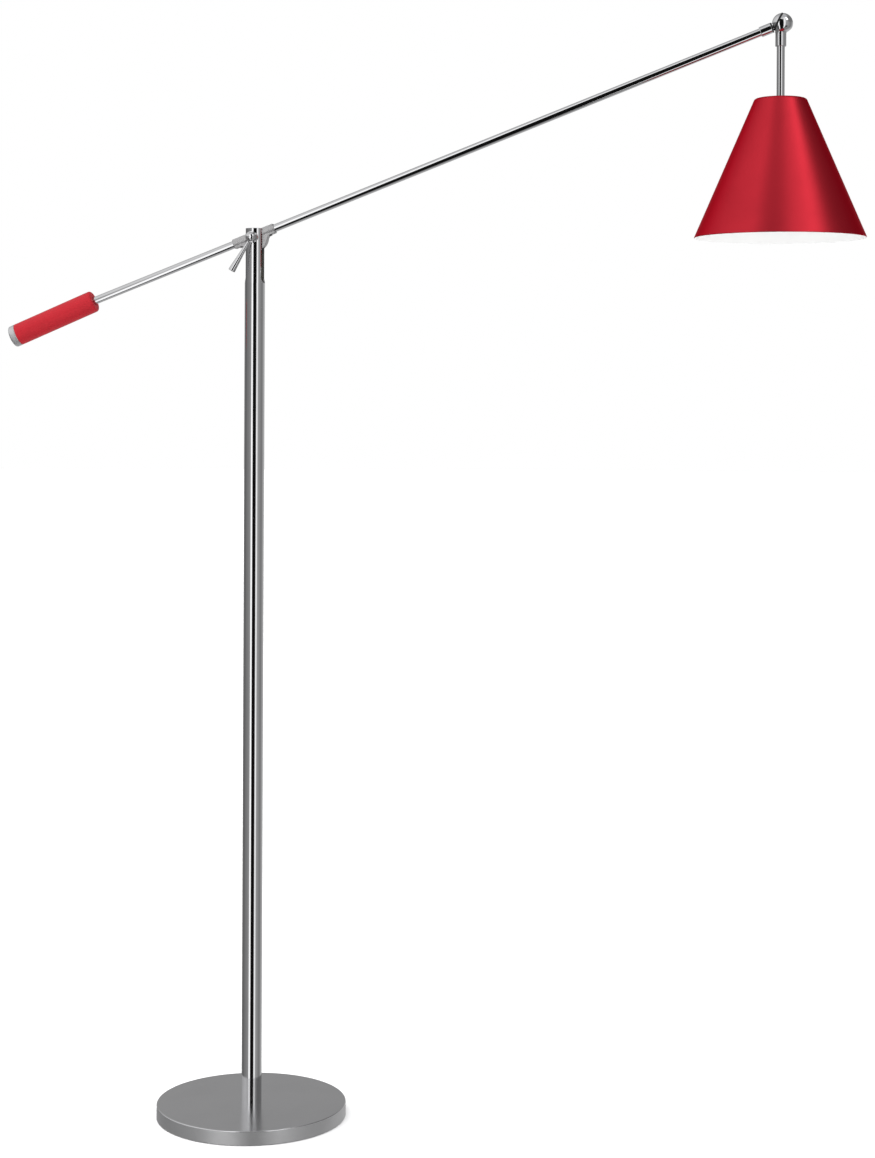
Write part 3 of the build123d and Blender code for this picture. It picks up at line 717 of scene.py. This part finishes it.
def make_ball():
    """Large part of the split ball, flowing into the neck that takes the stem."""
    offset = (HEAD_AXIS.x - BALL.x) / MM
    neck_low = -32.8
    blend = 4.6
    reach = BALL_R + blend
    side = NECK_R + blend
    drop = -math.sqrt(reach**2 - side**2)
    touch = drop * BALL_R / reach
    line = [(0, BALL_R)]
    ball_steps = 40
    last = math.acos(touch / BALL_R)
    for index in range(1, ball_steps + 1):
        angle = last * index / ball_steps
        line.append((BALL_R * math.sin(angle), BALL_R * math.cos(angle)))
    start = math.atan2(touch - drop, line[-1][0] - side)
    turn = math.pi - start
    for index in range(1, 9):
        angle = start + turn * index / 8
        line.append((side + blend * math.cos(angle), drop + blend * math.sin(angle)))
    line += [
        (NECK_R, drop - 0.3), (NECK_R, neck_low + 1.0), (NECK_R, neck_low + 0.7),
        (NECK_R - 0.15, neck_low + 0.3), (NECK_R - 0.5, neck_low), (TUBE_R, neck_low),
        (TUBE_R, neck_low + 2.5), (0, neck_low + 2.5),
    ]
    bm = bmesh.new()
    lathe_into(bm, line, segments=128)
    for vert in bm.verts:
        share = min(1.0, max(0.0, (-6.0 - vert.co.z) / 8.0))
        vert.co.x += offset * share * share * (3 - 2 * share)
    cut_by_split(bm, SPLIT_LOW, keep_above=False)
    ball = object_of("ball_body", bm, Matrix.Translation(BALL), 38.0)
    show(ball, "head", "chrome", "ball_housing", "ball_plug")


def make_knuckle():
    """Small cap of the split ball with its short neck."""
    bm = bmesh.new()
    line = [(0, -BALL_R)]
    steps = 48
    neck = 6.5
    last = math.asin(neck / BALL_R)
    for index in range(1, steps + 1):
        angle = (math.pi - last) * index / steps
        line.append((BALL_R * math.sin(angle), -BALL_R * math.cos(angle)))
    line += [(neck, 14.2), (neck, 14.6), (neck - 0.3, 15.0), (0, 15.0)]
    lathe_into(bm, line, segments=128)
    bmesh.ops.transform(bm, matrix=ROLL.to_3x3().to_4x4(), verts=bm.verts)
    cut_by_split(bm, SPLIT_HIGH, keep_above=True)
    cap = object_of("ball_cap", bm, Matrix.Translation(BALL), 38.0)
    show(cap, "knuckle", "chrome", "knuckle_cap")
    disc = lathe("swivel_friction_disc", [
        (4.1, SPLIT_LOW), (13.7, SPLIT_LOW, 0.25), (13.7, SPLIT_HIGH, 0.25), (4.1, SPLIT_HIGH),
    ], SWIVEL, segments=128, closed=True)
    show(disc, "knuckle", "black_fibre", "swivel_washer")


# --- shade and lampholder ---------------------------------------------------------------------------------
def make_shade():
    """Spun cone: lacquered outside, white inside, with an eased edge at its mouth."""
    low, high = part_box("shade")
    rim_z, top_z = low.z / MM, high.z / MM
    rim = (high.x - low.x) / 2 / MM
    crown = 36.6
    crown_arc = 5.0
    wall = 0.9
    slope = (rim - crown) / (top_z - rim_z)
    across = wall * math.hypot(1, slope)
    outside = [
        (TUBE_BORE, top_z), (crown, top_z, crown_arc),
        (rim - 0.12, rim_z + 0.9, 0.5), (rim - 0.25, rim_z, 0.35),
    ]
    inside = [
        (rim - across - 0.1, rim_z, 0.35), (crown + slope * wall - across, top_z - wall, crown_arc - wall),
        (TUBE_BORE, top_z - wall),
    ]
    turn_y = top_z - crown_arc
    turn_x = crown + crown_arc * (slope - math.hypot(1, slope))

    def side_of(first, second):
        """Lacquer outside the middle of the wall, enamel inside it: crown, its round corner, then cone."""
        centre = (Vector(first) + Vector(second)) / 2
        if centre.x < turn_x:
            outer = centre.y > top_z - wall / 2
        elif centre.y > turn_y:
            outer = math.hypot(centre.x - turn_x, centre.y - turn_y) > crown_arc - wall / 2
        else:
            outer = centre.x > rim - slope * (centre.y - rim_z) - across / 2 and centre.y > rim_z + 0.02
        return 0 if outer else 1

    bm = bmesh.new()
    lathe_into(bm, outside + inside, segments=256, closed=True, material_of=side_of)
    shade = object_of("cone_shade", bm, HEAD, 40.0)
    show(shade, "head", "red_lacquer", "shade", materials=[FINISH["red_lacquer"], FINISH["shade_white"]])


def make_stem():
    low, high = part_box("stem")
    tube = lathe("stem_tube", [
        (TUBE_BORE, low.z / MM), (TUBE_R, low.z / MM), (TUBE_R, high.z / MM), (TUBE_BORE, high.z / MM),
    ], HEAD, segments=72, closed=True)
    show(tube, "head", "chrome", "stem")


def make_holder():
    """Lampholder, with ribs round the shell, and its threaded screw shell."""
    shoulder, crest, mouth = 1466.0, 1487.0, 1428.0
    radius = 19.0
    cap = lathe("holder_dome", [
        (TUBE_BORE, crest - 1.0), (8.0, crest - 1.0, 0.6), (8.0, crest - 5, 1.5), (13.0, crest - 7.5, 3.0),
        (radius, shoulder + 6, 3.0), (radius, shoulder + 0.3, 0.3), (17.4, shoulder + 0.3, 0.2),
        (17.4, shoulder + 4, 1.0), (7.0, crest - 8, 1.0), (TUBE_BORE, crest - 8),
    ], HEAD, segments=96, closed=True)
    show(cap, "head", "holder_plastic", "holder_cap")

    def ribs(angle, reach, height):
        if reach < radius - 0.2 or not mouth + 3 < height < shoulder - 4:
            return reach
        return reach - 0.28 * (0.5 + 0.5 * math.cos(24 * angle))

    wall = heights(radius, mouth + 2.5, shoulder - 3.5, 3.0)
    shell = lathe("holder_skirt", [
        (17.5, mouth, 0.4), (radius, mouth, 0.6), *wall, (radius, shoulder, 0.3), (17.5, shoulder, 0.2),
    ], HEAD, segments=192, closed=True, form=ribs)
    show(shell, "head", "holder_plastic", "holder_shell")
    thread = thread_form(mouth + 5, shoulder - 7, 3.6, 0.5)
    inner = heights(13.5, mouth + 4, shoulder - 6, 0.45)
    outer = [(13.8, height) for _, height in reversed(inner)]
    screw = lathe(
        "screw_shell_threaded", inner + outer, HEAD, segments=72, closed=True, form=thread, angle=60.0,
    )
    show(screw, "head", "brass", "screw_shell")
    cap_line = [(0, mouth + 29.4), (4.2, mouth + 29.3, 0.5), (5.2, mouth + 28.4, 0.4)]
    cap_line.append((12.4, mouth + 26.2, 0.8))
    cap_line += [(13.0, height) for _, height in reversed(heights(13.0, mouth + 1, mouth + 25.2, 0.45))]
    cap_line += [(12.9, mouth, 0.2), (11.7, mouth, 0.2), (11.7, mouth + 2)]
    bulb_cap = lathe("bulb_screw_cap", cap_line + [(0, mouth + 2)], HEAD, segments=72,
                     form=thread_form(mouth + 4, mouth + 25, 3.6, 0.7), angle=60.0)
    show(bulb_cap, "head", "cap_metal", "bulb_cap")


def make_bulb():
    """Opal bulb: round end, waisted neck."""
    mouth, tip, belly, neck = 1428.0, 1340.0, 30.0, 11.7
    line = [(0, tip)]
    for index in range(1, 25):
        angle = math.pi / 2 * index / 24
        line.append((belly * math.sin(angle), tip + belly - belly * math.cos(angle)))
    rise = mouth - 2 - (tip + belly)
    for index in range(1, 25):
        share = index / 24
        ease = share * share * (3 - 2 * share)
        line.append((belly + (neck - belly) * ease, tip + belly + rise * share))
    line += [(neck, mouth + 6), (0, mouth + 6)]
    bulb = lathe("opal_bulb", line, HEAD, segments=96)
    show(bulb, "head", "glass", "bulb_glass")


def make_shade_fixing():
    low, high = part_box("shade_nut")
    bottom, top = low.z / MM, high.z / MM
    nut = lathe("shade_lock_nut", [
        (TUBE_BORE, bottom), (6.7, bottom, 0.2), (8.3, bottom + 0.8), (8.3, top - 0.8), (6.7, top, 0.2),
        (TUBE_BORE, top),
    ], HEAD, segments=120, closed=True, form=hexagon_form(14.0))
    show(nut, "head", "steel", "shade_nut")
    washer = lathe("shade_seat_washer", [
        (TUBE_BORE, top), (13.0, top, 0.3), (13.0, top + 1.5, 0.3), (TUBE_BORE, top + 1.5),
    ], HEAD, segments=96, closed=True)
    show(washer, "head", "steel", "shade_washer")


def make_switch_key():
    """Turn key: round shaft with a small collar, and a rounded paddle that is fullest at mid-thickness."""
    low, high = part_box("switch_key")
    axis = placed(HEAD_AXIS, (-1, 0, 0))
    start = (HEAD_AXIS.x - high.x) / MM
    end = (HEAD_AXIS.x - low.x) / MM
    bm = bmesh.new()
    lathe_into(bm, [
        (0, start), (2.3, start, 0.2), (2.3, end - 15.0), (2.8, end - 14.2, 0.3), (2.0, end - 12.5),
        (0, end - 12.5),
    ], segments=48)
    count, rows = 48, 7
    rings = []
    centre = end - 8.0
    for row in range(rows):
        share = -1 + 2 * row / (rows - 1)
        lens = math.sqrt(max(0.0, 1 - (0.92 * share) ** 2))
        ring = []
        for step in range(count):
            angle = 2 * math.pi * step / count
            cos, sin = math.cos(angle), math.sin(angle)
            across = math.copysign(abs(cos) ** 0.6, cos) * (5.6 + 1.4 * lens)
            along = math.copysign(abs(sin) ** 0.6, sin) * (6.6 + 1.4 * lens)
            ring.append(bm.verts.new((across, 1.6 * share, centre + along)))
        rings.append(ring)
    for first, second in zip(rings, rings[1:]):
        for step in range(count):
            turn = (step + 1) % count
            bm.faces.new((first[step], first[turn], second[turn], second[step]))
    bm.faces.new(list(reversed(rings[0])))
    bm.faces.new(rings[-1])
    key = object_of("turn_key", bm, axis, 40.0)
    show(key, "switch", "holder_plastic", "switch_key")


# --- studio -----------------------------------------------------------------------------------------------
SIDE_BANDS = [
    (-180, 0.52), (-150, 0.40), (-122, 0.22), (-97, 0.15), (-79, 0.23), (-50, 0.28), (-30, 0.36), (0, 0.40),
    (30, 0.36), (60, 0.42), (80, 0.34), (94, 0.28), (110, 0.25), (128, 0.42), (152, 0.60), (180, 0.52),
]
HIGH_BANDS = [
    (-180, 0.33), (-150, 0.40), (-120, 0.72), (-60, 0.92), (-20, 0.78), (10, 0.75), (50, 0.5), (80, 0.22),
    (140, 0.22), (180, 0.33),
]


def make_world():
    """Soft studio: plain white to the camera; in reflections grey walls, brighter above, dark in front."""
    world = bpy.data.worlds.new("studio")
    bpy.context.scene.world = world
    world.use_nodes = True
    g = Graph(world.node_tree)
    direction = g.add("ShaderNodeTexCoord").outputs["Generated"]
    split = g.add("ShaderNodeSeparateXYZ")
    g.join(direction, split.inputs[0])
    x, y, z = split.outputs
    azimuth = g.math("ARCTAN2", x, g.math("MULTIPLY", y, -1.0))
    turn = g.remap(azimuth, -math.pi, math.pi, 0.0, 1.0)
    side = g.ramp(turn, [((angle + 180) / 360, level) for angle, level in SIDE_BANDS])
    high = g.ramp(turn, [((angle + 180) / 360, level) for angle, level in HIGH_BANDS])
    walls = g.mix(g.remap(z, 0.10, 0.30, 0.0, 1.0, True), side, high)
    top = g.mix(g.remap(z, 0.75, 0.95, 0.0, 1.0, True), walls, (0.6, 0.6, 0.61, 1))
    below = g.remap(z, -0.35, -0.55, 0.0, 1.0, True)
    ahead = g.remap(y, -0.15, -0.4, 0.0, 1.0, True)
    low_front = g.math("MULTIPLY", below, ahead)
    shown = g.mix(low_front, top, (0.04, 0.04, 0.042, 1))
    seen = g.add("ShaderNodeBackground")
    g.join(shown, seen.inputs["Color"])
    plain = g.add("ShaderNodeBackground")
    plain.inputs["Color"].default_value = (1, 1, 1, 1)
    choose = g.add("ShaderNodeMixShader")
    g.join(g.add("ShaderNodeLightPath").outputs["Is Camera Ray"], choose.inputs[0])
    g.join(seen.outputs[0], choose.inputs[1])
    g.join(plain.outputs[0], choose.inputs[2])
    g.join(choose.outputs[0], g.add("ShaderNodeOutputWorld").inputs[0])


def make_panel(name, left, right, low, high, level, soft):
    """An upright panel between two floor points, seen only in reflections; soft is how far its edges fade."""
    left, right = Vector((*left, 0)), Vector((*right, 0))
    corners = [(*left.xy, low), (*right.xy, low), (*right.xy, high), (*left.xy, high)]
    mesh = bpy.data.meshes.new(name)
    mesh.from_pydata(corners, [], [(0, 1, 2, 3)])
    uv = mesh.uv_layers.new(name="across")
    for loop, place in zip(uv.data, ((0, 0), (1, 0), (1, 1), (0, 1))):
        loop.uv = place
    panel = bpy.data.objects.new(name, mesh)
    bpy.context.scene.collection.objects.link(panel)
    material = bpy.data.materials.new(name)
    material.use_nodes = True
    g = Graph(material.node_tree)
    split = g.add("ShaderNodeSeparateXYZ")
    g.join(g.add("ShaderNodeUVMap", uv_map="across").outputs[0], split.inputs[0])
    across = split.outputs[0]
    fade_in = g.remap(across, 0.0, soft[0], 0.0, 1.0, True)
    fade_out = g.remap(across, 1.0, 1.0 - soft[1], 0.0, 1.0, True)
    fade = g.math("MULTIPLY", fade_in, fade_out)
    glow = g.add("ShaderNodeEmission")
    glow.inputs["Color"].default_value = (level, level, level, 1)
    clear = g.add("ShaderNodeBsdfTransparent")
    blend = g.add("ShaderNodeMixShader")
    g.join(fade, blend.inputs[0])
    g.join(clear.outputs[0], blend.inputs[1])
    g.join(glow.outputs[0], blend.inputs[2])
    g.join(blend.outputs[0], g.add("ShaderNodeOutputMaterial").inputs[0])
    mesh.materials.append(material)
    panel.visible_camera = False
    panel.visible_diffuse = False
    panel.visible_shadow = False
    panel.visible_transmission = False


def make_lights():
    """Soft light from above and from the camera's side, left out of reflections; the panels give those."""
    for name, strength, spread, tilt, turn in (
        ("overhead", 2.3, 150, 0, 0),
        ("front_fill", 1.3, 120, 62, 10),
        ("left_fill", 0.9, 110, 60, -60),
    ):
        data = bpy.data.lights.new(name, "SUN")
        data.energy = strength
        data.angle = math.radians(spread)
        lamp = bpy.data.objects.new(name, data)
        lamp.rotation_euler = (math.radians(tilt), 0, math.radians(turn))
        lamp.visible_glossy = False
        bpy.context.scene.collection.objects.link(lamp)


def make_floor():
    """Plain pale floor, a wide disc with a faint painted mottle."""
    bm = bmesh.new()
    rings = [0.0, 0.5, 1.5, 4.0, 10.0, 30.0]
    centre = bm.verts.new((0, 0, -0.0002))
    last = None
    segments = 64
    for radius in rings[1:]:
        ring = []
        for step in range(segments):
            angle = 2 * math.pi * step / segments
            ring.append(bm.verts.new((radius * math.cos(angle), radius * math.sin(angle), -0.0002)))
        for step in range(segments):
            turn = (step + 1) % segments
            if last is None:
                bm.faces.new((centre, ring[step], ring[turn]))
            else:
                bm.faces.new((last[step], ring[step], ring[turn], last[turn]))
        last = ring
    mesh = bpy.data.meshes.new("floor")
    bm.to_mesh(mesh)
    bm.free()
    floor = bpy.data.objects.new("floor", mesh)
    bpy.context.scene.collection.objects.link(floor)
    paint = finish_material(
        "pale_floor", (0.88, 0.88, 0.88), 0.0, 0.9, tint=0.985, patch=2.0, grain=200.0, specular=0.0,
    )
    mesh.materials.append(paint)
    floor.visible_glossy = False


# --- the scene --------------------------------------------------------------------------------------------
bpy.context.scene.view_settings.view_transform = "Standard"
make_camera()
make_world()
make_panel("left_softbox", (-0.56, -1.18), (-0.07, -1.285), -1.5, 4.5, 1.5, (0.35, 0.12))
make_panel("dark_gap", (-0.10, -1.36), (1.22, -1.86), -1.5, 3.0, 0.006, (0.06, 0.06))
make_panel("right_softbox", (1.32, -1.86), (1.98, -1.20), -1.5, 4.5, 1.3, (0.12, 0.6))
make_panel("high_softbox", (1.75, -1.1), (2.25, -0.3), 2.4, 4.0, 2.4, (0.3, 0.3))
make_lights()
make_floor()

FINISH = make_materials()
for node, obj in NODES.items():
    obj.data.materials.clear()
    obj.data.materials.append(FINISH[SLOT_OF[node]])
    smooth_faces(obj.data)

make_base()
make_pole()
make_saddles()
make_rear_nut()
make_clamp()
make_pivot_block()
make_arm()
make_counterweight()
make_ball()
make_knuckle()
make_stem()
make_shade()
make_shade_fixing()
make_holder()
make_bulb()
make_switch_key()
